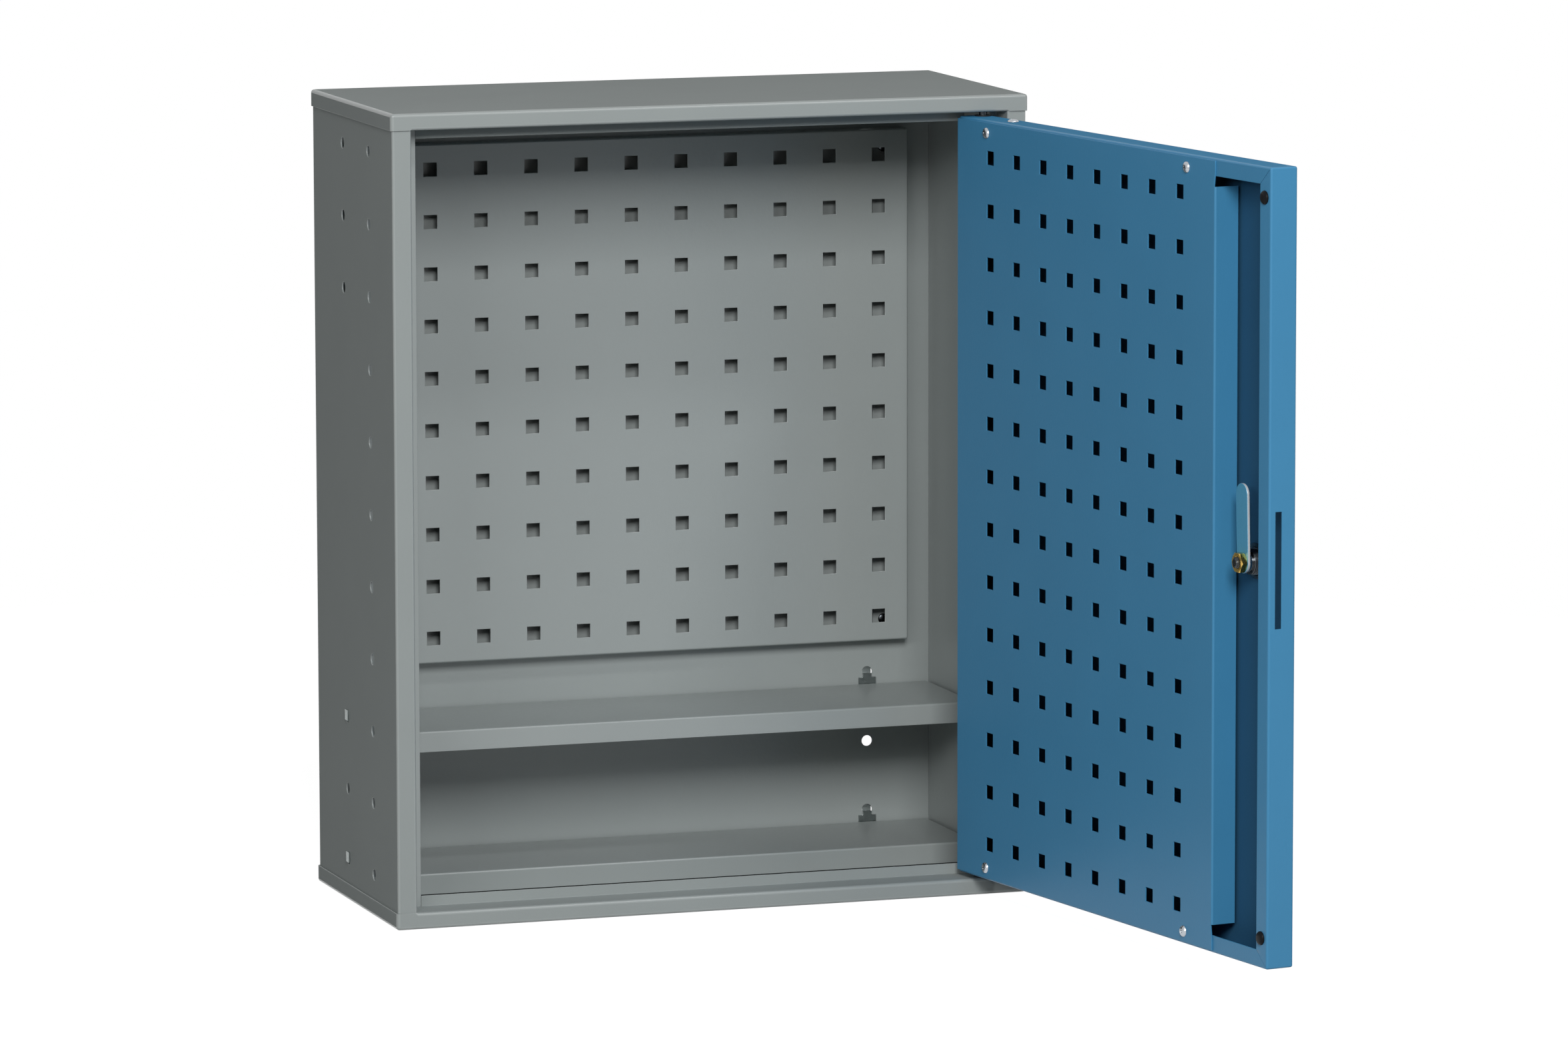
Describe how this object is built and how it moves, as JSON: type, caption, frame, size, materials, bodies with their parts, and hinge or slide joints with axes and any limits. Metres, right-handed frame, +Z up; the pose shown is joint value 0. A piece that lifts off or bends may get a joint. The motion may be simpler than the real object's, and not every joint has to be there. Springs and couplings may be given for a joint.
{
  "type": "wall tool cabinet",
  "caption": "Shallow steel wall cabinet with a perforated back panel, narrow shelves on clips and a lockable swing door with a perforated inner panel.",
  "frame": {"origin": "centre of the underside of the cabinet body, door not counted", "axes": "+X to the right as seen from the front, where the door's hinge is; +Y to the wall behind; +Z up"},
  "size_m": [0.5165, 0.6219, 0.578],
  "materials": {
    "grey_powder": "light grey powder coat, fine texture",
    "blue_powder": "mid blue powder coat, satin",
    "zinc": "bright zinc plate",
    "brass": "turned brass",
    "rubber": "black moulded rubber",
    "nylon": "natural nylon",
    "chrome": "polished chrome plate"
  },
  "bodies": {
    "cabinet": {"left_side": "grey_powder", "right_side": "grey_powder", "back_wall": "grey_powder", "top_cap": "grey_powder", "bottom_cap": "grey_powder", "back_panel": "grey_powder", "back_panel_rivets": "zinc", "upper_shelf": "grey_powder", "lower_shelf": "grey_powder", "upper_shelf_clips": "zinc", "lower_shelf_clips": "zinc", "top_hinge_pin": "zinc", "bottom_hinge_pin": "zinc", "thrust_washer": "nylon"},
    "door": {"door_shell": "blue_powder", "door_panel": "blue_powder", "door_panel_screws": "zinc", "door_buffers": "rubber", "top_hinge_strap": "zinc", "bottom_hinge_strap": "zinc", "top_hinge_bush": "nylon", "bottom_hinge_bush": "nylon", "strap_screws": "zinc", "lock_barrel": "chrome", "lock_ring_nut": "zinc"},
    "lock": {"lock_plug": "chrome", "lock_stop_washer": "chrome", "lock_cam": "chrome", "lock_cam_nut": "brass"}
  },
  "joints": [
    {"name": "door_hinge", "type": "hinge", "parent": "cabinet", "child": "door", "pos_m": [0.205, -0.097, 0.289], "axis": [0, 0, 1], "range_deg": [-99.3, 15.7]},
    {"name": "lock_turn", "type": "hinge", "parent": "door", "child": "lock", "pos_m": [0.25961, -0.47008, 0.289], "axis": [0.9869, 0.1616, 0], "range_deg": [0, 92]}
  ]
}
